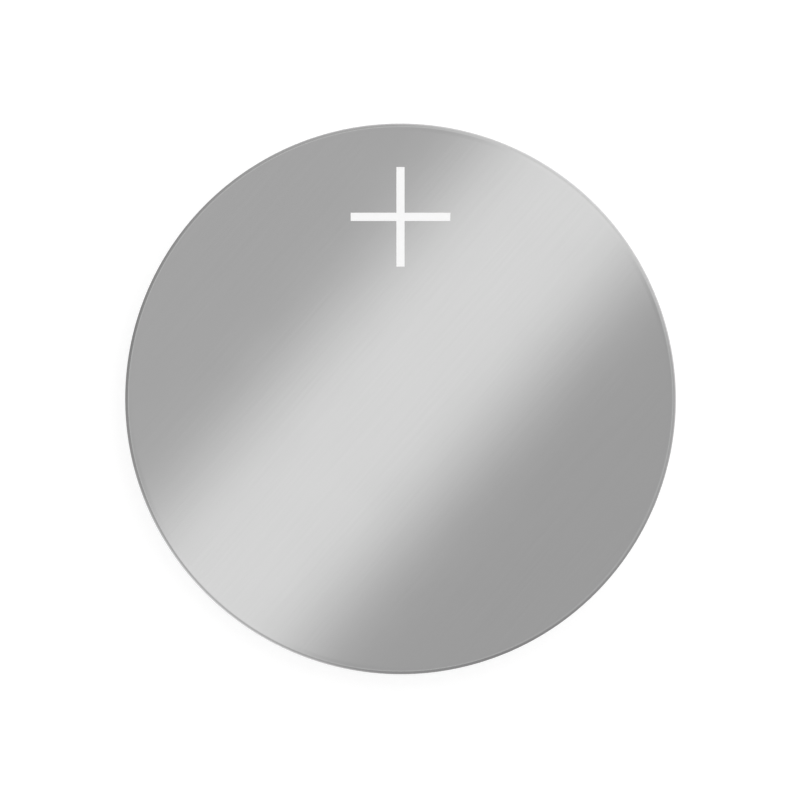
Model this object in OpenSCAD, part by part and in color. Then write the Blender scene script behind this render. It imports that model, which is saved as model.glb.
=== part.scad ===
// Lithium coin cell: a drawn steel can crimped over a stepped steel cap, with a moulded
// gasket between them. Inside are a lithium disc, a cupped separator and a pressed
// cathode in its ring. Lengths are in millimetres.
// The cell lies on its cap: z = 0 is the cap's face, and the can's flat face is on top.
// Every piece is a body of revolution, drawn as a half section in r and z.

/* [Cell] */
// Outside diameter of the can
cell_d = 20; // [17:0.1:25]
// Height from the cap's face to the can's face
cell_h = 5; // [4:0.1:8]

/* [Can] */
// Thickness of the can's sheet
can_t = 0.25; // [0.15:0.01:0.35]
// Outside radius of the corner round the can's face
can_corner_r = 0.3; // [0.1:0.02:0.9]
// Width of the flat at the end of the crimped lip
lip_flat = 0.1; // [0.02:0.01:0.3]
// How far the lip stands back from the cap's face
lip_recess = 0.15; // [0.05:0.01:0.3]

/* [Cap] */
// Thickness of the cap's sheet
cap_t = 0.25; // [0.15:0.01:0.35]
// Outside radius of the corner round the cap's face
cap_corner_r = 0.5; // [0.1:0.02:0.8]
// Lean of the cap's step wall from upright, in degrees
step_lean = 15; // [0:1:30]
// Outside radius at the foot of the step wall
step_foot_r = 0.15; // [0.05:0.01:0.3]
// Gap between the can's lip and the foot of the step wall
groove_w = 0.4; // [0.3:0.01:0.8]
// Inside radius of the bend from the cap's shoulder into its skirt
skirt_bend_r = 0.2; // [0.05:0.01:0.5]

/* [Gasket] */
// Thickness of the gasket where can and cap squeeze it
gasket_t = 0.4; // [0.3:0.01:0.6]
// Thickness of the gasket between the skirt's edge and the can's floor
gasket_base_t = 0.5; // [0.3:0.01:0.9]
// Thickness of the gasket's inner lip
gasket_lip_t = 0.5; // [0.35:0.01:0.8]
// Height of the gasket's inner lip above the can's floor
gasket_lip_h = 1.6; // [1:0.05:2.4]
// Radius on the edges of the gasket's inner lip
gasket_lip_r = 0.15; // [0.05:0.01:0.24]
// Width of the gasket's end that shows inside the can's lip
gasket_show_w = 0.2; // [0.14:0.01:0.28]
// Radius on the edge of that end
gasket_end_edge_r = 0.12; // [0.02:0.01:0.18]
// How far that end lies below the lip's outer face
gasket_sink = 0.08; // [0.02:0.01:0.2]

/* [Electrodes] */
// How far the lithium disc stands above the cap's shoulder
anode_proud = 0.2; // [0.05:0.01:0.6]
// How far the lithium disc's edge lies inside the flat of the cap
anode_inset = 0.18; // [0:0.01:1]
// Radius on the edges of the lithium disc
anode_edge_r = 0.1; // [0.02:0.01:0.3]
// Thickness of the separator
separator_t = 0.2; // [0.1:0.01:0.3]
// Inside radius of the bend into the separator's rim
separator_bend_r = 0.2; // [0.05:0.01:0.4]
// How far the separator's rim reaches past the end of the gasket's lip
separator_lap = 0.5; // [0.2:0.05:1]
// Gap between the cathode and the separator's rim
cathode_gap = 0.15; // [0.05:0.01:0.4]
// Thickness of the cathode ring's sheet
ring_t = 0.15; // [0.08:0.01:0.25]
// Height of the cathode ring's wall
ring_h = 1; // [0.5:0.05:1.8]
// Width of the flange of the cathode ring
ring_flange_w = 1.2; // [0.5:0.05:3]
// Inside radius of the bend between the ring's wall and its flange
ring_bend_r = 0.1; // [0.03:0.01:0.3]

/* [Hidden] */
$fn = 180;

// The crimp is a stack of bends about one centre: skirt, gasket, then the can's lip.
cell_r = cell_d / 2;
skirt_outer_bend_r = skirt_bend_r + cap_t;
crimp_r = skirt_outer_bend_r + gasket_t + can_t;
lip_r = cell_r - crimp_r - lip_flat;

// Heights
can_floor_z = cell_h - can_t;
shoulder_z = lip_recess + can_t + gasket_t; // outer face of the cap's shoulder
skirt_end_z = can_floor_z - gasket_base_t;
gasket_lip_z = can_floor_z - gasket_lip_h;
gasket_end_z = lip_recess + gasket_sink;
separator_z = shoulder_z + cap_t + anode_proud;
cathode_z = separator_z + separator_t;
ring_end_z = can_floor_z - ring_h;

// Radii of the cap
skirt_r = cell_r - can_t - gasket_t;
skirt_in_r = skirt_r - cap_t;
step_foot_at = lip_r - groove_w;
face_corner_at = step_foot_at - shoulder_z * tan(step_lean);
cap_flat_r = face_corner_at - cap_corner_r * tan((90 - step_lean) / 2);

// Radii of what lies inside
gasket_in_r = skirt_in_r - gasket_lip_t;
gasket_end_r = lip_r - gasket_show_w;
anode_r = cap_flat_r - anode_inset;
cathode_r = gasket_in_r - separator_t - cathode_gap;
flange_r = cathode_r - ring_flange_w;

// A line is a list of corners, each [r, z, bend radius]. A radius of 0 is a sharp corner.
can_corners = [
    [cell_r, cell_h, can_corner_r],
    [cell_r, lip_recess, crimp_r],
    [lip_r, lip_recess, 0]
];
skirt_corners = [
    [skirt_r, shoulder_z, skirt_outer_bend_r],
    [skirt_r, skirt_end_z, 0]
];
can_line = concat([[0, cell_h, 0]], can_corners);
cap_line = concat(
    [[0, 0, 0], [face_corner_at, 0, cap_corner_r], [step_foot_at, shoulder_z, step_foot_r]],
    skirt_corners
);
separator_line = [
    [0, separator_z, 0],
    [gasket_in_r, separator_z, separator_bend_r + separator_t],
    [gasket_in_r, gasket_lip_z + separator_lap, 0]
];
ring_line = [
    [flange_r, can_floor_z, 0],
    [cathode_r, can_floor_z, ring_bend_r + ring_t],
    [cathode_r, ring_end_z, 0]
];

function unit(v) = v / norm(v);
function left_of(direction) = [-direction[1], direction[0]];
function reversed(list) = [for (i = [len(list) - 1 : -1 : 0]) list[i]];
function point(line, i) = let (corner = line[(i + len(line)) % len(line)]) [corner[0], corner[1]];
function heading(line, i) = unit(point(line, i + 1) - point(line, i));

// Signed turn at a corner, as a sine: above 0 is to the left
function turn(line, i) = cross(heading(line, i - 1), heading(line, i));

// Corners of the line that runs beside another, at an offset to its left
function beside(line, offset) = [
    for (i = [0 : len(line) - 1])
        let (
            into = heading(line, max(i - 1, 0)),
            out = heading(line, min(i, len(line) - 2)),
            mitre = (left_of(into) + left_of(out)) / (1 + into * out),
            at = point(line, i) + offset * mitre
        )
        [at[0], at[1], max(0, line[i][2] - offset * sign(cross(into, out)))]
];

// Outline of a sheet along a line, laid to its left, or to its right if negative
function sheet(line, thickness) = concat(line, reversed(beside(line, thickness)));

// What lies between a sharp corner and the arc that rounds it
module corner_piece(outline, i) {
    corner = point(outline, i);
    radius = outline[i][2];
    back = -heading(outline, i - 1);
    ahead = heading(outline, i);
    half = acos(back * ahead) / 2;
    reach = radius / tan(half);
    difference() {
        polygon([corner, corner + reach * back, corner + reach * ahead]);
        translate(corner + radius / sin(half) * unit(back + ahead)) circle(radius);
    }
}

// Solid of revolution from an outline that runs clockwise, with true arcs at its corners
module revolved(outline) {
    bent = [for (i = [0 : len(outline) - 1]) if (outline[i][2] > 0) i];
    rotate_extrude() difference() {
        union() {
            polygon([for (i = [0 : len(outline) - 1]) point(outline, i)]);
            for (i = bent) if (turn(outline, i) > 0) corner_piece(outline, i);
        }
        for (i = bent) if (turn(outline, i) < 0) corner_piece(outline, i);
    }
}

// Drawn cup with its rim crimped in over the gasket
module positive_can() {
    color("silver") revolved(sheet(can_line, -can_t));
}

// Stepped cap: contact face, leaning step wall, shoulder and skirt
module negative_cap() {
    color("gainsboro") revolved(reversed(sheet(cap_line, cap_t)));
}

// Ring that fills the crimp, wraps the skirt's edge and holds the separator's rim
module gasket() {
    against_can = beside(concat([[gasket_in_r, cell_h, 0]], can_corners), -can_t);
    shown_end = [[lip_r, gasket_end_z, 0], [gasket_end_r, gasket_end_z, gasket_end_edge_r]];
    against_skirt = concat([[gasket_end_r, shoulder_z, 0]], skirt_corners);
    inner_lip = [
        [skirt_in_r, skirt_end_z, 0],
        [skirt_in_r, gasket_lip_z, gasket_lip_r],
        [gasket_in_r, gasket_lip_z, gasket_lip_r]
    ];
    color("whitesmoke") revolved(concat(against_can, shown_end, against_skirt, inner_lip));
}

// Punched lithium disc, pressed on the inside of the cap
module lithium_anode() {
    color("lightsteelblue") revolved([
        [0, separator_z, 0],
        [anode_r, separator_z, anode_edge_r],
        [anode_r, cap_t, anode_edge_r],
        [0, cap_t, 0]
    ]);
}

// Non-woven disc with its rim turned up round the cathode
module separator() {
    color("white") revolved(reversed(sheet(separator_line, separator_t)));
}

// Pressed tablet, with a rebate that its ring fills
module cathode_pellet() {
    color("dimgray") revolved(concat(
        [[0, can_floor_z, 0], [flange_r, can_floor_z, 0]],
        beside(ring_line, -ring_t),
        [[cathode_r, ring_end_z, 0], [cathode_r, cathode_z, separator_bend_r], [0, cathode_z, 0]]
    ));
}

// Steel ring that stiffens the tablet's edge and carries current to the can's floor
module cathode_ring() {
    color("darkgray") revolved(sheet(ring_line, -ring_t));
}

positive_can();
negative_cap();
gasket();
lithium_anode();
separator();
cathode_pellet();
cathode_ring();
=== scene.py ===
"""Dresses a lithium coin cell for a product picture.

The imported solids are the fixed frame. Each piece is turned again as a fine smooth mesh from
the same outline, and gets its own finish. All lengths are in metres.
"""

import math

import bmesh
import bpy
from bpy.props import FloatProperty, FloatVectorProperty, PointerProperty
from mathutils import Matrix, Vector


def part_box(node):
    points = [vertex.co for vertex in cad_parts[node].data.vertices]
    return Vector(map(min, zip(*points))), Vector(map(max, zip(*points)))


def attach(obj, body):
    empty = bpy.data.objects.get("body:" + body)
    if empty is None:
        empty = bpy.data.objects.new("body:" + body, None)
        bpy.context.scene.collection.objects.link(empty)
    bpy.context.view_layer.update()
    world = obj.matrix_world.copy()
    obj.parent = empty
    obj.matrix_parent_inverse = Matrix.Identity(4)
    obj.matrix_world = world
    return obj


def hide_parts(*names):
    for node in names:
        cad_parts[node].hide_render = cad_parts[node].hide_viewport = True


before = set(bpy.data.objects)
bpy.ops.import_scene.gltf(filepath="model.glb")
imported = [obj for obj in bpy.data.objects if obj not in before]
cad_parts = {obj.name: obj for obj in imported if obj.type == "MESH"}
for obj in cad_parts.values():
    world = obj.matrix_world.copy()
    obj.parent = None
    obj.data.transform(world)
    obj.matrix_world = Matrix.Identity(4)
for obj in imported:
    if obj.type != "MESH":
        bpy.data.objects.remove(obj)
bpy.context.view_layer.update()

bl_info = {
    "name": "Lithium coin cell",
    "version": (1, 0, 0),
    "blender": (4, 5, 0),
    "location": "3D View > Sidebar > Coin Cell",
    "description": "Makes the pieces of a lithium coin cell, its print and a studio for it",
    "category": "Add Mesh",
}

MM = 0.001
MICRON = 0.000001
BODY = "root"

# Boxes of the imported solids: lowest and highest corner
can_low, can_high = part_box("positive_can")
cap_low, cap_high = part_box("negative_cap")
gasket_low, gasket_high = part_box("gasket")
anode_low, anode_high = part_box("lithium_anode")
separator_low, separator_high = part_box("separator")
tablet_low, tablet_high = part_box("cathode_pellet")
ring_low, ring_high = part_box("cathode_ring")

# What the boxes say of the cell's section
CELL_R = can_high.x
FACE_Z = can_high.z
LIP_Z = can_low.z
CAN_FLOOR_Z = gasket_high.z
CAN_SHEET = FACE_Z - CAN_FLOOR_Z
SKIRT_R = cap_high.x
SKIRT_END_Z = cap_high.z
CAP_SHEET = anode_low.z
GASKET_WALL = gasket_high.x - SKIRT_R
GASKET_END_Z = gasket_low.z
GASKET_IN_R = separator_high.x
SHOULDER_Z = LIP_Z + CAN_SHEET + GASKET_WALL
SEPARATOR_SHEET = tablet_low.z - separator_low.z

# Fineness of the turned meshes
SEGMENTS = 240
ARC_STEP = math.radians(7.5)
SUPPORT = 0.01 * MM  # from each arc's end to the edge that keeps the flat beside it flat
ON_AXIS = 0.001 * MM
SHARP_ANGLE = math.radians(30)

# Where the photo has the cell, in its own pixels
PHOTO_SIDE = 800
DISC_PIXELS = 550.9
DISC_CENTRE = (400.5, 398.9)

# Sizes of the marks in the finishes, along X, Y and Z
ROLLED_GRAIN = (3 * MM, 0.09 * MM, 0.09 * MM)
DRAW_MARKS = (0.12 * MM, 0.12 * MM, 6 * MM)
FOIL_LINES = (4 * MM, 0.2 * MM, 0.2 * MM)
FELT_FIBRE = (1.2 * MM, 0.05 * MM, 0.6 * MM)
PRESS_LINES = (2 * MM, 0.08 * MM, 0.08 * MM)

GRAIN_TURN = math.radians(49)
FIBRE_TURNS = [math.radians(degrees) for degrees in (12, 78, 138)]
WALL_DEPTH = 10.0  # depth of the can's draw marks, in depths of its grain

# How far a surface faces up where one kind of mark starts, and where it has taken over
CAN_FACE = (0.5, 0.95)
CAN_CRIMP = (-0.1, -0.5)
CAP_FACE = (-0.9, -0.99)

# Directions to the two key lamps
KEY_OVER = (0.16, 0.19, 1.0)
KEY_UNDER = (-0.16, 0.19, -1.0)

# Share of a card's half side over which it turns white
CARD_RIM = 0.62

# Brightness round the collar, from its small window at 0 to its large window at 1: near
# its top, which the can's corner mirrors, and lower down, which the can's wall mirrors
CORNER_LEVELS = (
    (0.0, 0.68), (0.02, 0.6), (0.07, 0.44), (0.25, 0.38), (0.6, 0.52), (0.88, 0.62), (1.0, 1.0),
)
WALL_LEVELS = (
    (0.0, 1.1), (0.03, 0.95), (0.1, 0.46), (0.28, 0.33), (0.58, 0.42), (0.8, 0.75), (1.0, 1.1),
)


def length(name, description, default):
    """A length of the cell or its stage."""
    return FloatProperty(
        name=name, description=description, default=default, min=0.0,
        unit="LENGTH", subtype="DISTANCE", precision=6,
    )


def colour(name, description, default):
    """A linear colour."""
    return FloatVectorProperty(
        name=name, description=description, default=default, min=0.0, max=1.0,
        size=3, subtype="COLOR",
    )


def share(name, description, default, highest=1.0):
    """A plain number from 0."""
    return FloatProperty(
        name=name, description=description, default=default, min=0.0, max=highest
    )


def angle(name, description, degrees):
    """An angle, given in degrees and kept in radians."""
    return FloatProperty(
        name=name, description=description, default=math.radians(degrees),
        unit="ROTATION", subtype="ANGLE",
    )


class CoinCellShape(bpy.types.PropertyGroup):
    """Sizes that the boxes of the solids don't give."""

    can_corner: length("Can corner", "Outside radius round the positive face", 0.3 * MM)
    lip_flat: length("Lip flat", "Width of the flat at the end of the crimp", 0.1 * MM)
    skirt_bend: length("Skirt bend", "Inside radius from the shoulder to the skirt", 0.2 * MM)
    cap_corner: length("Cap corner", "Outside radius round the cap's face", 0.5 * MM)
    step_lean: angle("Step lean", "Lean of the cap's step wall from upright", 15)
    step_foot: length("Step foot", "Outside radius at the foot of the step wall", 0.15 * MM)
    groove: length("Groove", "Gap between the lip and the foot of the step wall", 0.4 * MM)
    seal_show: length("Seal width", "Width of the gasket's end inside the lip", 0.2 * MM)
    seal_edge: length("Seal edge", "Radius on the edge of the gasket's end", 0.12 * MM)
    seal_lip_edge: length("Seal lip edge", "Radius on the gasket's inner lip", 0.15 * MM)
    separator_lap: length("Separator lap", "Reach of its rim past the gasket's lip", 0.5 * MM)
    separator_bend: length("Separator bend", "Inside radius into its rim", 0.2 * MM)
    anode_edge: length("Lithium edge", "Radius on the edges of the lithium disc", 0.1 * MM)
    ring_sheet: length("Ring sheet", "Thickness of the cathode ring's sheet", 0.15 * MM)
    ring_flange: length("Ring flange", "Width of the cathode ring's flange", 1.2 * MM)
    ring_bend: length("Ring bend", "Inside radius between its wall and flange", 0.1 * MM)


class CoinCellPrint(bpy.types.PropertyGroup):
    """The white print on the positive face."""

    plus_reach: length("Plus arms", "Length of each stroke of the plus mark", 3.6 * MM)
    plus_stroke: length("Plus stroke", "Width of each stroke of the plus mark", 0.295 * MM)
    plus_rise: length("Plus height", "From the middle of the face to the plus mark", 6.58 * MM)
    ink_film: length("Ink film", "Thickness of the ink", 12 * MICRON)


class CoinCellColours(bpy.types.PropertyGroup):
    """Colours of the pieces."""

    can: colour("Can", "Plated steel of the can", (0.6, 0.6, 0.6))
    cap: colour("Cap", "Plated steel of the cap", (0.6, 0.595, 0.585))
    seal: colour("Gasket", "Natural moulded plastic", (0.74, 0.75, 0.72))
    lithium: colour("Lithium", "Rolled lithium foil", (0.6, 0.61, 0.63))
    felt: colour("Separator", "Non-woven felt", (0.84, 0.84, 0.82))
    tablet: colour("Cathode", "Pressed black powder", (0.03, 0.03, 0.032))
    ring: colour("Cathode ring", "Bare stamped steel", (0.46, 0.46, 0.46))
    ink: colour("Ink", "White print", (0.93, 0.93, 0.93))


class CoinCellStage(bpy.types.PropertyGroup):
    """Camera, floor and light."""

    lens: share("Lens", "Focal length in millimetres", 85.0, 300.0)
    floor_reach: length("Floor reach", "Radius of the floor", 3.0)
    floor_drop: length("Floor drop", "Gap that keeps the floor off the cap's face", 2 * MICRON)
    floor_grey: share("Floor grey", "How much light the floor sends back", 0.76)
    floor_glow: share("Floor glow", "What is added where the floor is looked at", 0.4)
    sky_level: share("Sky level", "Light of the surroundings on dull surfaces", 0.76, 4.0)
    key_share: share("Key share", "Share of white that a key lamp gives a face", 0.24, 4.0)
    key_spread: angle("Key spread", "How wide the key lamps look from the cell", 45)
    card_rise: length("Card height", "From the face to the card over it", 30 * MM)
    card_side: length("Card side", "Side of the card", 240 * MM)
    card_core: length("Card core", "Radius past which its levels only run outward", 14.4 * MM)
    band_turn: angle("Band turn", "Direction of the card's light band", 49)
    band_level: share("Band level", "Brightness in the light band", 1.12, 4.0)
    left_level: share("Left level", "Brightness on the left of the band", 0.61, 4.0)
    right_level: share("Right level", "Brightness on the right of the band", 0.545, 4.0)
    band_off: length("Band offset", "From the card's middle to the band's, leftward", 0.3 * MM)
    band_flat: length("Band flat", "From the band's middle to where it fades", 2.05 * MM)
    band_fade: length("Band fade", "Width of its fade on each side", 5.8 * MM)
    collar_gap: length("Collar gap", "From the can's wall to the grey collar", 3 * MM)
    collar_top: length("Collar top", "Height of the collar over the floor", 6 * MM)
    collar_fade: length("Collar fade", "Height over which its foot turns white", 0.6 * MM)
    collar_low: length("Collar low", "Height up to which it is lit for the wall", 3.2 * MM)
    collar_high: length("Collar high", "Height from which it is lit for the corner", 4.4 * MM)
    window_turn: angle("Window turn", "Direction of the collar's bright side", 50)


class CoinCellSettings(bpy.types.PropertyGroup):
    """All settings of the coin cell."""

    shape: PointerProperty(type=CoinCellShape)
    print: PointerProperty(type=CoinCellPrint)
    colours: PointerProperty(type=CoinCellColours)
    stage: PointerProperty(type=CoinCellStage)


# Outlines: a corner is (r, z, bend radius), and a radius of 0 is a sharp corner.


def left_of(direction):
    return Vector((-direction.y, direction.x))


def heading(line, i):
    """Direction of the run that leaves corner i."""
    start, end = Vector(line[i][:2]), Vector(line[i + 1][:2])
    return (end - start).normalized()


def beside(line, offset):
    """Corners of the line that runs beside another, at an offset to its left."""
    made = []
    for i, (r, z, bend) in enumerate(line):
        into = heading(line, max(i - 1, 0))
        out = heading(line, min(i, len(line) - 2))
        mitre = (left_of(into) + left_of(out)) / (1 + into.dot(out))
        turn = round(into.cross(out), 6)
        side = (turn > 0) - (turn < 0)
        made.append((r + offset * mitre.x, z + offset * mitre.y, max(0.0, bend - offset * side)))
    return made


def sheet(line, thickness):
    """Outline of a sheet along a line, laid to its left, or to its right if negative."""
    return line + beside(line, thickness)[::-1]


def arc(spot, back, ahead, bend):
    """Points of the arc that rounds a corner, and a support point at each side of it."""
    half = back.angle(ahead) / 2
    reach = bend / math.tan(half)
    centre = spot + (back + ahead).normalized() * bend / math.sin(half)
    sweep = math.copysign(math.pi - 2 * half, -back.cross(ahead))
    steps = max(2, math.ceil(abs(sweep) / ARC_STEP))
    spoke = spot + back * reach - centre
    points = [spot + back * (reach + SUPPORT)]
    for step in range(steps + 1):
        points.append(centre + Matrix.Rotation(sweep * step / steps, 2) @ spoke)
    points.append(spot + ahead * (reach + SUPPORT))
    return points


def outline_points(corners):
    """Points round a closed outline, with its bent corners as arcs."""
    spots = [Vector((r, z)) for r, z, _ in corners]
    points = []
    for i, spot in enumerate(spots):
        back = (spots[i - 1] - spot).normalized()
        ahead = (spots[(i + 1) % len(spots)] - spot).normalized()
        bend = corners[i][2]
        points += arc(spot, back, ahead, bend) if bend > 0 else [spot]
    return points


def join_rings(shape, ring, following):
    """Faces between two rings of vertices. A ring of one vertex lies on the axis."""
    if len(ring) == len(following) == 1:
        return
    for k in range(SEGMENTS):
        after = (k + 1) % SEGMENTS
        if len(ring) == 1:
            shape.faces.new((ring[0], following[k], following[after]))
        elif len(following) == 1:
            shape.faces.new((ring[k], following[0], ring[after]))
        else:
            shape.faces.new((ring[k], following[k], following[after], ring[after]))


def ring_of(shape, radius, height):
    """Vertices round the axis, or the one on it where the radius is 0."""
    if radius < ON_AXIS:
        return [shape.verts.new((0.0, 0.0, height))]
    spins = [2 * math.pi * k / SEGMENTS for k in range(SEGMENTS)]
    return [
        shape.verts.new((radius * math.cos(spin), radius * math.sin(spin), height))
        for spin in spins
    ]


def turned(name, corners):
    """A smooth solid of revolution from an outline that runs clockwise."""
    shape = bmesh.new()
    rings = [ring_of(shape, point.x, point.y) for point in outline_points(corners)]
    for ring, following in zip(rings, rings[1:] + rings[:1]):
        join_rings(shape, ring, following)
    return shown(name, shape)


def shown(name, shape):
    """An object at the origin, with smooth faces and sharp edges, from a bmesh."""
    mesh = bpy.data.meshes.new(name)
    shape.to_mesh(mesh)
    shape.free()
    mesh.shade_smooth()
    mesh.set_sharp_from_angle(angle=SHARP_ANGLE)
    made = bpy.data.objects.new(name, mesh)
    bpy.context.scene.collection.objects.link(made)
    return made


def plate(name, outline, low, high):
    """A flat plate with an (x, y) outline, from one height to another."""
    shape = bmesh.new()
    top = [shape.verts.new((x, y, high)) for x, y in outline]
    base = [shape.verts.new((x, y, low)) for x, y in outline]
    shape.faces.new(top)
    shape.faces.new(base[::-1])
    for i in range(len(outline)):
        shape.faces.new((top[i - 1], base[i - 1], base[i], top[i]))
    bmesh.ops.recalc_face_normals(shape, faces=shape.faces)
    return shown(name, shape)


def dress(piece, finish, slot, *nodes):
    """Give a piece its finish and its body, and hide the imported nodes that it stands for. The
    slot is not used.
    """
    piece.data.materials.append(finish)
    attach(piece, BODY)
    if nodes:
        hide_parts(*nodes)


# Finishes


def shader_tree(name, **sockets):
    """A new material's node tree and its shader, with plain values on its sockets."""
    material = bpy.data.materials.new(name)
    material.use_nodes = True
    tree = material.node_tree
    shader = tree.nodes["Principled BSDF"]
    for socket, value in sockets.items():
        shader.inputs[socket.replace("_", " ").title()].default_value = value
    return material, tree, shader


def add(tree, kind, inputs=None, **settings):
    """Add a node. An input is a value, or a socket to link from."""
    made = tree.nodes.new("ShaderNode" + kind)
    for setting, value in settings.items():
        setattr(made, setting, value)
    for name, value in (inputs or {}).items():
        if isinstance(value, bpy.types.NodeSocket):
            tree.links.new(value, made.inputs[name])
        else:
            made.inputs[name].default_value = value
    return made


def place(tree, sizes, turn=0.0, spot=None):
    """Coordinates in which a mark of these sizes, turned about Z, is 1 across."""
    if spot is None:
        spot = add(tree, "TexCoord").outputs["Object"]
    mapping = add(
        tree, "Mapping", {"Vector": spot, "Rotation": (0.0, 0.0, turn), "Scale": sizes},
        vector_type="TEXTURE",
    )
    return mapping.outputs["Vector"]


def level_spot(tree):
    """Object coordinates with the height left out."""
    spot = add(tree, "TexCoord").outputs["Object"]
    flat = add(tree, "VectorMath", {0: spot, 1: (1.0, 1.0, 0.0)}, operation="MULTIPLY")
    return flat.outputs["Vector"]


def distance_out(tree):
    """Distance from the cell's axis."""
    return add(tree, "VectorMath", {0: level_spot(tree)}, operation="LENGTH").outputs["Value"]


def height_up(tree):
    """Height over the cap's face."""
    spot = add(tree, "TexCoord").outputs["Object"]
    return add(tree, "SeparateXYZ", {"Vector": spot}).outputs["Z"]


def noise(tree, vector, detail=2.0, roughness=0.5):
    """Smooth noise, from 0 to 1, with marks about 1 across."""
    inputs = {"Vector": vector, "Scale": 1.0, "Detail": detail, "Roughness": roughness}
    return add(tree, "TexNoise", inputs).outputs["Fac"]


def mottle(tree, size, detail=3.0, roughness=0.5):
    """Noise in round marks of one size."""
    return noise(tree, place(tree, (size,) * 3), detail, roughness)


def span(tree, value, low, high, from_low=0.0, from_high=1.0):
    """A value moved from one range to another."""
    inputs = {
        "Value": value, "From Min": from_low, "From Max": from_high,
        "To Min": low, "To Max": high,
    }
    return add(tree, "MapRange", inputs).outputs["Result"]


def between(tree, factor, first, second):
    """A number from the first to the second, by a factor from 0 to 1."""
    made = add(tree, "Mix", data_type="FLOAT")
    for socket, value in zip(made.inputs[:1] + made.inputs[2:4], (factor, first, second)):
        if isinstance(value, bpy.types.NodeSocket):
            tree.links.new(value, socket)
        else:
            socket.default_value = value
    return made.outputs[0]


def larger(tree, first, second):
    """The larger of two numbers."""
    return add(tree, "Math", {0: first, 1: second}, operation="MAXIMUM").outputs["Value"]


def shades(tree, factor, base, spread):
    """A colour that varies a little about a base, by a factor from 0 to 1."""
    ramp = add(tree, "ValToRGB", {"Fac": factor})
    ends = ramp.color_ramp.elements
    ends[0].color = (*[max(0.0, part * (1 - spread)) for part in base], 1.0)
    ends[1].color = (*[min(1.0, part * (1 + spread)) for part in base], 1.0)
    return ramp.outputs["Color"]


def bump(tree, height, depth):
    """A normal from a height, where 1 stands this many metres above 0."""
    inputs = {"Height": height, "Strength": 1.0, "Distance": depth}
    return add(tree, "Bump", inputs).outputs["Normal"]


def upward(tree):
    """1 where a surface faces up, 0 where it stands upright, -1 where it faces down."""
    normal = add(tree, "NewGeometry").outputs["Normal"]
    return add(tree, "SeparateXYZ", {"Vector": normal}).outputs["Z"]


def round_lines(tree, width):
    """Noise in lines of this width round the axis, as a turning or burnishing tool leaves."""
    section = add(tree, "CombineXYZ", {"X": distance_out(tree), "Y": height_up(tree)})
    return noise(tree, place(tree, (width,) * 3, spot=section.outputs["Vector"]), 3.0)


def link(tree, output, shader, socket):
    tree.links.new(output, shader.inputs[socket])


def can_finish(base):
    """Plated sheet: rolled grain on the face, drawing marks on the wall, a burnished crimp."""
    material, tree, shader = shader_tree("can_plating", metallic=1.0)
    grain = noise(tree, place(tree, ROLLED_GRAIN, GRAIN_TURN), 3.0)
    draw = noise(tree, place(tree, DRAW_MARKS), 3.0)
    facing = upward(tree)
    face = span(tree, facing, 0.0, 1.0, *CAN_FACE)
    crimp = span(tree, facing, 0.0, 1.0, *CAN_CRIMP)
    wall = between(tree, crimp, draw, round_lines(tree, 0.09 * MM))
    depth = between(tree, face, span(tree, wall, 0.0, WALL_DEPTH), grain)
    tone = between(tree, face, wall, span(tree, grain, 0.42, 0.58))
    cloud = mottle(tree, 2.5 * MM)
    link(tree, bump(tree, depth, 0.15 * MICRON), shader, "Normal")
    link(tree, shades(tree, tone, base, 0.14), shader, "Base Color")
    link(tree, span(tree, cloud, 0.12, 0.17), shader, "Roughness")
    return material


def cap_finish(base):
    """Plated sheet with a fine stipple on the contact face and press lines on its step, with
    painted shade in their pits.
    """
    material, tree, shader = shader_tree("cap_plating", metallic=1.0)
    stipple = mottle(tree, 0.13 * MM, 2.0)
    face = span(tree, upward(tree), 0.0, 1.0, *CAP_FACE)
    marks = between(tree, face, round_lines(tree, 0.08 * MM), stipple)
    link(tree, bump(tree, marks, 7 * MICRON), shader, "Normal")
    # Painted shade: the colour darkens where the stipple and the press lines sink, as shade in
    # their pits.
    link(tree, shades(tree, marks, base, 0.3), shader, "Base Color")
    link(tree, span(tree, marks, 0.2, 0.4), shader, "Roughness")
    return material


def seal_finish(base):
    """Natural polypropylene: milky, with the faint skin of a moulding."""
    material, tree, shader = shader_tree(
        "seal_plastic", roughness=0.42, subsurface_weight=0.25,
        subsurface_radius=(1.0, 0.9, 0.8), subsurface_scale=0.3 * MM,
    )
    skin = mottle(tree, 0.2 * MM)
    cloud = mottle(tree, 3 * MM, 2.0)
    link(tree, bump(tree, skin, 2 * MICRON), shader, "Normal")
    link(tree, shades(tree, cloud, base, 0.04), shader, "Base Color")
    return material


def lithium_finish(base):
    """Soft rolled foil, pressed and a little dulled in patches."""
    material, tree, shader = shader_tree("lithium_foil", metallic=1.0)
    roll = noise(tree, place(tree, FOIL_LINES), 3.0)
    patch = mottle(tree, 1.6 * MM, 5.0, 0.65)
    link(tree, bump(tree, roll, 3 * MICRON), shader, "Normal")
    link(tree, shades(tree, patch, base, 0.12), shader, "Base Color")
    link(tree, span(tree, patch, 0.38, 0.6), shader, "Roughness")
    return material


def felt_finish(base):
    """Non-woven felt: crossed fibres, thin between them."""
    material, tree, shader = shader_tree("separator_felt", roughness=0.85, sheen_weight=0.2)
    layers = [noise(tree, place(tree, FELT_FIBRE, turn), 2.0) for turn in FIBRE_TURNS]
    fibres = layers[0]
    for layer in layers[1:]:
        fibres = larger(tree, fibres, layer)
    tone = span(tree, fibres, 0.0, 1.0, 0.4, 0.8)
    link(tree, bump(tree, fibres, 25 * MICRON), shader, "Normal")
    link(tree, shades(tree, tone, base, 0.08), shader, "Base Color")
    return material


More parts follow.
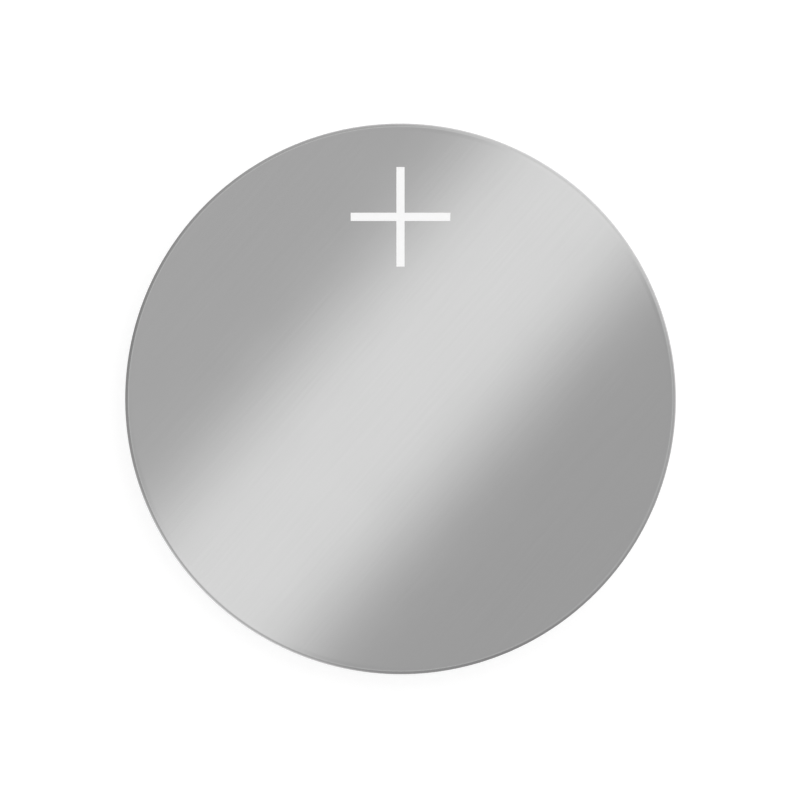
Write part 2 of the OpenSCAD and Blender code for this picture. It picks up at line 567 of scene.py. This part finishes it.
def tablet_finish(base):
    """Pressed powder: matte black, with grains that catch a little light."""
    material, tree, shader = shader_tree("tablet_powder", roughness=0.8)
    grains = mottle(tree, 0.07 * MM, 4.0, 0.7)
    cloud = mottle(tree, 1.2 * MM)
    link(tree, bump(tree, grains, 14 * MICRON), shader, "Normal")
    link(tree, shades(tree, cloud, base, 0.35), shader, "Base Color")
    link(tree, span(tree, grains, 0.68, 0.9), shader, "Roughness")
    return material


def ring_finish(base):
    """Bare stamped steel with the lines of the press tool round it."""
    material, tree, shader = shader_tree("ring_steel", metallic=1.0)
    lines = noise(tree, place(tree, PRESS_LINES), 3.0)
    cloud = mottle(tree, 1.5 * MM)
    link(tree, bump(tree, lines, 1 * MICRON), shader, "Normal")
    link(tree, shades(tree, cloud, base, 0.05), shader, "Base Color")
    link(tree, span(tree, cloud, 0.28, 0.4), shader, "Roughness")
    return material


def ink_finish(base):
    """Opaque white ink, a little uneven where it was pressed on."""
    material, tree, shader = shader_tree("print_ink", roughness=0.5)
    film = mottle(tree, 0.15 * MM, 4.0)
    link(tree, bump(tree, film, 1.5 * MICRON), shader, "Normal")
    link(tree, shades(tree, film, base, 0.02), shader, "Base Color")
    return material


# Lines that the pieces follow


def crimp_bend(shape):
    """Outside radius of the can's bend over the gasket."""
    return shape.skirt_bend + CAP_SHEET + GASKET_WALL + CAN_SHEET


def lip_r(shape):
    """Radius of the opening that the crimped lip leaves."""
    return CELL_R - crimp_bend(shape) - shape.lip_flat


def can_corners(shape):
    return [
        (CELL_R, FACE_Z, shape.can_corner),
        (CELL_R, LIP_Z, crimp_bend(shape)),
        (lip_r(shape), LIP_Z, 0.0),
    ]


def skirt_corners(shape):
    return [
        (SKIRT_R, SHOULDER_Z, shape.skirt_bend + CAP_SHEET),
        (SKIRT_R, SKIRT_END_Z, 0.0),
    ]


def cap_line(shape):
    foot = lip_r(shape) - shape.groove
    corner = foot - SHOULDER_Z * math.tan(shape.step_lean)
    return [
        (0.0, 0.0, 0.0),
        (corner, 0.0, shape.cap_corner),
        (foot, SHOULDER_Z, shape.step_foot),
        *skirt_corners(shape),
    ]


def ring_line(shape):
    return [
        (ring_high.x - shape.ring_flange, ring_high.z, 0.0),
        (ring_high.x, ring_high.z, shape.ring_bend + shape.ring_sheet),
        (ring_high.x, ring_low.z, 0.0),
    ]


class COINCELL_OT_can(bpy.types.Operator):
    """Turn the positive can, crimped in at its foot"""

    bl_idname = "coin_cell.can"
    bl_label = "Positive can"

    def execute(self, context):
        cell = context.scene.coin_cell
        line = [(0.0, FACE_Z, 0.0), *can_corners(cell.shape)]
        can = turned("can_shell", sheet(line, -CAN_SHEET))
        dress(can, can_finish(cell.colours.can), "can_steel", "positive_can")
        return {"FINISHED"}


class COINCELL_OT_cap(bpy.types.Operator):
    """Turn the stepped negative cap"""

    bl_idname = "coin_cell.cap"
    bl_label = "Negative cap"

    def execute(self, context):
        cell = context.scene.coin_cell
        cap = turned("cap_shell", sheet(cap_line(cell.shape), CAP_SHEET)[::-1])
        dress(cap, cap_finish(cell.colours.cap), "cap_steel", "negative_cap")
        return {"FINISHED"}


class COINCELL_OT_gasket(bpy.types.Operator):
    """Turn the gasket that the crimp squeezes"""

    bl_idname = "coin_cell.gasket"
    bl_label = "Gasket"

    def execute(self, context):
        cell = context.scene.coin_cell
        shape = cell.shape
        end_r = lip_r(shape) - shape.seal_show
        skirt_in_r = SKIRT_R - CAP_SHEET
        lip_z = separator_high.z - shape.separator_lap
        against_can = beside([(GASKET_IN_R, FACE_Z, 0.0), *can_corners(shape)], -CAN_SHEET)
        shown_end = [
            (lip_r(shape), GASKET_END_Z, 0.0),
            (end_r, GASKET_END_Z, shape.seal_edge),
        ]
        against_skirt = [(end_r, SHOULDER_Z, 0.0), *skirt_corners(shape)]
        inner_lip = [
            (skirt_in_r, SKIRT_END_Z, 0.0),
            (skirt_in_r, lip_z, shape.seal_lip_edge),
            (GASKET_IN_R, lip_z, shape.seal_lip_edge),
        ]
        seal = turned("seal_ring", against_can + shown_end + against_skirt + inner_lip)
        dress(seal, seal_finish(cell.colours.seal), "gasket_plastic", "gasket")
        return {"FINISHED"}


class COINCELL_OT_lithium(bpy.types.Operator):
    """Turn the lithium disc on the cap"""

    bl_idname = "coin_cell.lithium"
    bl_label = "Lithium disc"

    def execute(self, context):
        cell = context.scene.coin_cell
        edge = cell.shape.anode_edge
        disc = turned("lithium_disc", [
            (0.0, anode_high.z, 0.0),
            (anode_high.x, anode_high.z, edge),
            (anode_high.x, anode_low.z, edge),
            (0.0, anode_low.z, 0.0),
        ])
        dress(disc, lithium_finish(cell.colours.lithium), "lithium_metal", "lithium_anode")
        return {"FINISHED"}


class COINCELL_OT_separator(bpy.types.Operator):
    """Turn the separator with its rim up"""

    bl_idname = "coin_cell.separator"
    bl_label = "Separator"

    def execute(self, context):
        cell = context.scene.coin_cell
        line = [
            (0.0, separator_low.z, 0.0),
            (GASKET_IN_R, separator_low.z, cell.shape.separator_bend + SEPARATOR_SHEET),
            (GASKET_IN_R, separator_high.z, 0.0),
        ]
        felt = turned("separator_cup", sheet(line, SEPARATOR_SHEET)[::-1])
        dress(felt, felt_finish(cell.colours.felt), "separator_felt", "separator")
        return {"FINISHED"}


class COINCELL_OT_cathode(bpy.types.Operator):
    """Turn the cathode tablet and the steel ring in its rebate"""

    bl_idname = "coin_cell.cathode"
    bl_label = "Cathode and ring"

    def execute(self, context):
        cell = context.scene.coin_cell
        shape = cell.shape
        line = ring_line(shape)
        tablet = turned("cathode_tablet", [
            (0.0, tablet_high.z, 0.0),
            (line[0][0], tablet_high.z, 0.0),
            *beside(line, -shape.ring_sheet),
            (tablet_high.x, ring_low.z, 0.0),
            (tablet_high.x, tablet_low.z, shape.separator_bend),
            (0.0, tablet_low.z, 0.0),
        ])
        dress(tablet, tablet_finish(cell.colours.tablet), "cathode_mix", "cathode_pellet")
        ring = turned("tablet_ring", sheet(line, -shape.ring_sheet))
        dress(ring, ring_finish(cell.colours.ring), "ring_steel", "cathode_ring")
        return {"FINISHED"}


class COINCELL_OT_print(bpy.types.Operator):
    """Lay the white plus mark on the positive face"""

    bl_idname = "coin_cell.print"
    bl_label = "Print"

    def execute(self, context):
        cell = context.scene.coin_cell
        marks = cell.print
        arm, stroke = marks.plus_reach / 2, marks.plus_stroke / 2
        quarter = [(stroke, arm), (stroke, stroke), (arm, stroke)]
        outline = []
        for turn in range(4):
            spin = Matrix.Rotation(-math.pi / 2 * turn, 2)
            for corner in quarter:
                x, y = spin @ Vector(corner)
                outline.append((x, y + marks.plus_rise))
        low = FACE_Z - marks.ink_film / 2
        plus = plate("plus_mark", outline, low, FACE_Z + marks.ink_film)
        dress(plus, ink_finish(cell.colours.ink), "can_steel")
        return {"FINISHED"}


# Stage


def seen_rays(tree):
    """1 for rays that look at a thing, straight or by reflection or through glass."""
    path = add(tree, "LightPath").outputs
    mirrored = larger(tree, path["Is Camera Ray"], path["Is Glossy Ray"])
    return larger(tree, mirrored, path["Is Transmission Ray"])


def white_surroundings(stage):
    """A world that is white to look at, and lights dull surfaces at the sky level."""
    world = bpy.data.worlds.new("white_studio")
    bpy.context.scene.world = world
    world.use_nodes = True
    tree = world.node_tree
    strength = between(tree, seen_rays(tree), stage.sky_level, 1.0)
    background = tree.nodes["Background"]
    background.inputs["Color"].default_value = (1.0, 1.0, 1.0, 1.0)
    tree.links.new(strength, background.inputs["Strength"])


def stage_material(name):
    """An empty material, its tree and its output."""
    material = bpy.data.materials.new(name)
    material.use_nodes = True
    tree = material.node_tree
    tree.nodes.clear()
    return material, tree, add(tree, "OutputMaterial").inputs["Surface"]


def floor_finish(stage):
    """Pale floor that keeps shadows, and is clear for a look from below."""
    material, tree, surface = stage_material("pale_floor")
    grey = (*[stage.floor_grey] * 3, 1.0)
    dull = add(tree, "BsdfDiffuse", {"Color": grey}).outputs["BSDF"]
    glow = between(tree, seen_rays(tree), 0.0, stage.floor_glow)
    lit = add(tree, "Emission", {"Strength": glow}).outputs["Emission"]
    pale = add(tree, "AddShader", {0: dull, 1: lit}).outputs["Shader"]
    behind = add(tree, "NewGeometry").outputs["Backfacing"]
    passed = add(tree, "LightPath").outputs["Transparent Depth"]
    below = add(tree, "Math", {0: behind, 1: passed}, operation="ADD", use_clamp=True)
    clear = add(tree, "BsdfTransparent").outputs["BSDF"]
    either = add(tree, "MixShader", {0: below.outputs["Value"], 1: pale, 2: clear})
    tree.links.new(either.outputs["Shader"], surface)
    return material


def make_floor(stage):
    """A round floor just under the cap's face."""
    shape = bmesh.new()
    bmesh.ops.create_circle(
        shape, cap_ends=True, segments=SEGMENTS, radius=stage.floor_reach,
        matrix=Matrix.Translation((0.0, 0.0, -stage.floor_drop)),
    )
    floor = shown("floor", shape)
    floor.data.materials.append(floor_finish(stage))


def level_ramp(tree, factor, stops, interpolation):
    """Brightness by a factor, from stops of (factor, brightness) from 0 to 1."""
    highest = max(level for _, level in stops)
    ramp = add(tree, "ValToRGB", {"Fac": factor})
    ramp.color_ramp.interpolation = interpolation
    elements = ramp.color_ramp.elements
    for position, _ in stops[1:-1]:
        elements.new(position)
    for element, (_, level) in zip(elements, stops):
        element.color = (*[level / highest] * 3, 1.0)
    inputs = {0: ramp.outputs["Color"], 1: highest}
    return add(tree, "Math", inputs, operation="MULTIPLY").outputs["Value"]


def melt_to_white(tree, surface, share_shown, level):
    """Light of a level, which turns white where a share from 0 to 1 is 0."""
    strength = between(tree, share_shown, 1.0, level)
    lit = add(tree, "Emission", {"Strength": strength})
    tree.links.new(lit.outputs["Emission"], surface)


def smooth_step(tree, value, low, high):
    """0 below a value, 1 above another, and smooth between them."""
    inputs = {"Value": value, "From Min": low, "From Max": high}
    step = add(tree, "MapRange", inputs, interpolation_type="SMOOTHSTEP")
    return step.outputs["Result"]


def band_finish(stage):
    """Light card with a soft bright band across its middle, which fans out past its core."""
    material, tree, surface = stage_material("band_card")
    reach = stage.band_flat + stage.band_fade
    away = distance_out(tree)
    pull = add(tree, "Math", {0: stage.card_core, 1: away}, operation="DIVIDE", use_clamp=True)
    inputs = {0: level_spot(tree), "Scale": pull.outputs["Value"]}
    core = add(tree, "VectorMath", inputs, operation="SCALE").outputs["Vector"]
    band = place(tree, (2 * reach,) * 3, stage.band_turn, core)
    across = add(tree, "SeparateXYZ", {"Vector": band}).outputs["Y"]
    fade = stage.band_fade / (2 * reach)
    off = stage.band_off / (2 * reach)
    stops = (
        (0.0, stage.right_level), (fade, stage.band_level),
        (1.0 - fade, stage.band_level), (1.0, stage.left_level),
    )
    along = span(tree, across, 0.0, 1.0, off - 0.5, off + 0.5)
    level = level_ramp(tree, along, stops, "EASE")
    half = stage.card_side / 2
    shown_share = smooth_step(tree, away, half, half * (1 - CARD_RIM))
    melt_to_white(tree, surface, shown_share, level)
    return material


def collar_finish(stage):
    """Grey collar with a window on two sides, which turns white at its foot."""
    material, tree, surface = stage_material("collar_card")
    outward = add(tree, "VectorMath", {0: level_spot(tree)}, operation="NORMALIZE")
    window = (math.cos(stage.window_turn), math.sin(stage.window_turn), 0.0)
    inputs = {0: outward.outputs["Vector"], 1: window}
    towards = add(tree, "VectorMath", inputs, operation="DOT_PRODUCT").outputs["Value"]
    around = span(tree, towards, 0.0, 1.0, -1.0, 1.0)
    wall = level_ramp(tree, around, WALL_LEVELS, "LINEAR")
    corner = level_ramp(tree, around, CORNER_LEVELS, "LINEAR")
    height = height_up(tree)
    rise = smooth_step(tree, height, stage.collar_low, stage.collar_high)
    level = between(tree, rise, wall, corner)
    melt_to_white(tree, surface, smooth_step(tree, height, 0.0, stage.collar_fade), level)
    return material


def only_reflected(name, shape, finish):
    """A card that shows only in reflections and throws no shadow."""
    card = shown(name, shape)
    card.data.materials.append(finish)
    card.visible_camera = False
    card.visible_diffuse = False
    card.visible_transmission = False
    card.visible_volume_scatter = False
    card.visible_shadow = False


def make_cards(stage):
    """A band card over the cell and one under it, and a grey collar round it."""
    band = band_finish(stage)
    heights = {"card_over": FACE_Z + stage.card_rise, "card_under": -stage.card_rise}
    for name, height in heights.items():
        shape = bmesh.new()
        bmesh.ops.create_grid(
            shape, x_segments=1, y_segments=1, size=stage.card_side / 2,
            matrix=Matrix.Translation((0.0, 0.0, height)),
        )
        only_reflected(name, shape, band)
    shape = bmesh.new()
    rings = []
    for height in (0.0, stage.collar_top):
        rings.append(ring_of(shape, CELL_R + stage.collar_gap, height))
    join_rings(shape, *rings)
    only_reflected("collar", shape, collar_finish(stage))


def key_lamp(name, towards, stage):
    """A wide, far lamp in a direction, which gives a level face its share of white."""
    towards = Vector(towards).normalized()
    light = bpy.data.lights.new(name, "SUN")
    light.angle = stage.key_spread
    light.energy = stage.key_share * math.pi / abs(towards.z)
    made = bpy.data.objects.new(name, light)
    made.rotation_euler = towards.to_track_quat("Z", "Y").to_euler()
    made.visible_glossy = False
    bpy.context.scene.collection.objects.link(made)


def make_camera(stage):
    """Straight above the face, framed as the photo is."""
    scale = 2 * CELL_R / DISC_PIXELS
    camera = bpy.data.cameras.new("camera")
    camera.lens = stage.lens
    camera.clip_start = 1 * MM
    camera.clip_end = 10.0
    made = bpy.data.objects.new("camera", camera)
    rim_z = FACE_Z - bpy.context.scene.coin_cell.shape.can_corner
    rise = scale * PHOTO_SIDE * camera.lens / camera.sensor_width
    x = (PHOTO_SIDE / 2 - DISC_CENTRE[0]) * scale
    y = (DISC_CENTRE[1] - PHOTO_SIDE / 2) * scale
    made.location = (x, y, rim_z + rise)
    bpy.context.scene.collection.objects.link(made)
    bpy.context.scene.camera = made


class COINCELL_OT_stage(bpy.types.Operator):
    """Set the white floor, the light and the camera"""

    bl_idname = "coin_cell.stage"
    bl_label = "Stage"

    def execute(self, context):
        stage = context.scene.coin_cell.stage
        context.scene.view_settings.view_transform = "Standard"
        white_surroundings(stage)
        make_floor(stage)
        make_cards(stage)
        key_lamp("key_over", KEY_OVER, stage)
        key_lamp("key_under", KEY_UNDER, stage)
        make_camera(stage)
        return {"FINISHED"}


class COINCELL_PT_panel(bpy.types.Panel):
    """Sizes, colours and the buttons that make the pieces"""

    bl_idname = "COINCELL_PT_panel"
    bl_label = "Coin Cell"
    bl_space_type = "VIEW_3D"
    bl_region_type = "UI"
    bl_category = "Coin Cell"

    def draw(self, context):
        cell = context.scene.coin_cell
        for group in (cell.shape, cell.print, cell.colours, cell.stage):
            box = self.layout.box()
            for name in group.__annotations__:
                box.prop(group, name)
        for operator in OPERATORS:
            self.layout.operator(operator.bl_idname)


GROUPS = (
    CoinCellShape, CoinCellPrint, CoinCellColours, CoinCellStage, CoinCellSettings,
)
OPERATORS = (
    COINCELL_OT_can, COINCELL_OT_cap, COINCELL_OT_gasket, COINCELL_OT_lithium,
    COINCELL_OT_separator, COINCELL_OT_cathode, COINCELL_OT_print, COINCELL_OT_stage,
)


def register():
    for group in GROUPS:
        bpy.utils.register_class(group)
    bpy.types.Scene.coin_cell = PointerProperty(type=CoinCellSettings)
    for operator in OPERATORS:
        bpy.utils.register_class(operator)
    bpy.utils.register_class(COINCELL_PT_panel)


def unregister():
    bpy.utils.unregister_class(COINCELL_PT_panel)
    for operator in reversed(OPERATORS):
        bpy.utils.unregister_class(operator)
    del bpy.types.Scene.coin_cell
    for group in reversed(GROUPS):
        bpy.utils.unregister_class(group)


def main():
    """Make every piece and the stage."""
    register()
    bpy.ops.coin_cell.can()
    bpy.ops.coin_cell.cap()
    bpy.ops.coin_cell.gasket()
    bpy.ops.coin_cell.lithium()
    bpy.ops.coin_cell.separator()
    bpy.ops.coin_cell.cathode()
    bpy.ops.coin_cell.print()
    bpy.ops.coin_cell.stage()


if __name__ == "__main__":
    main()
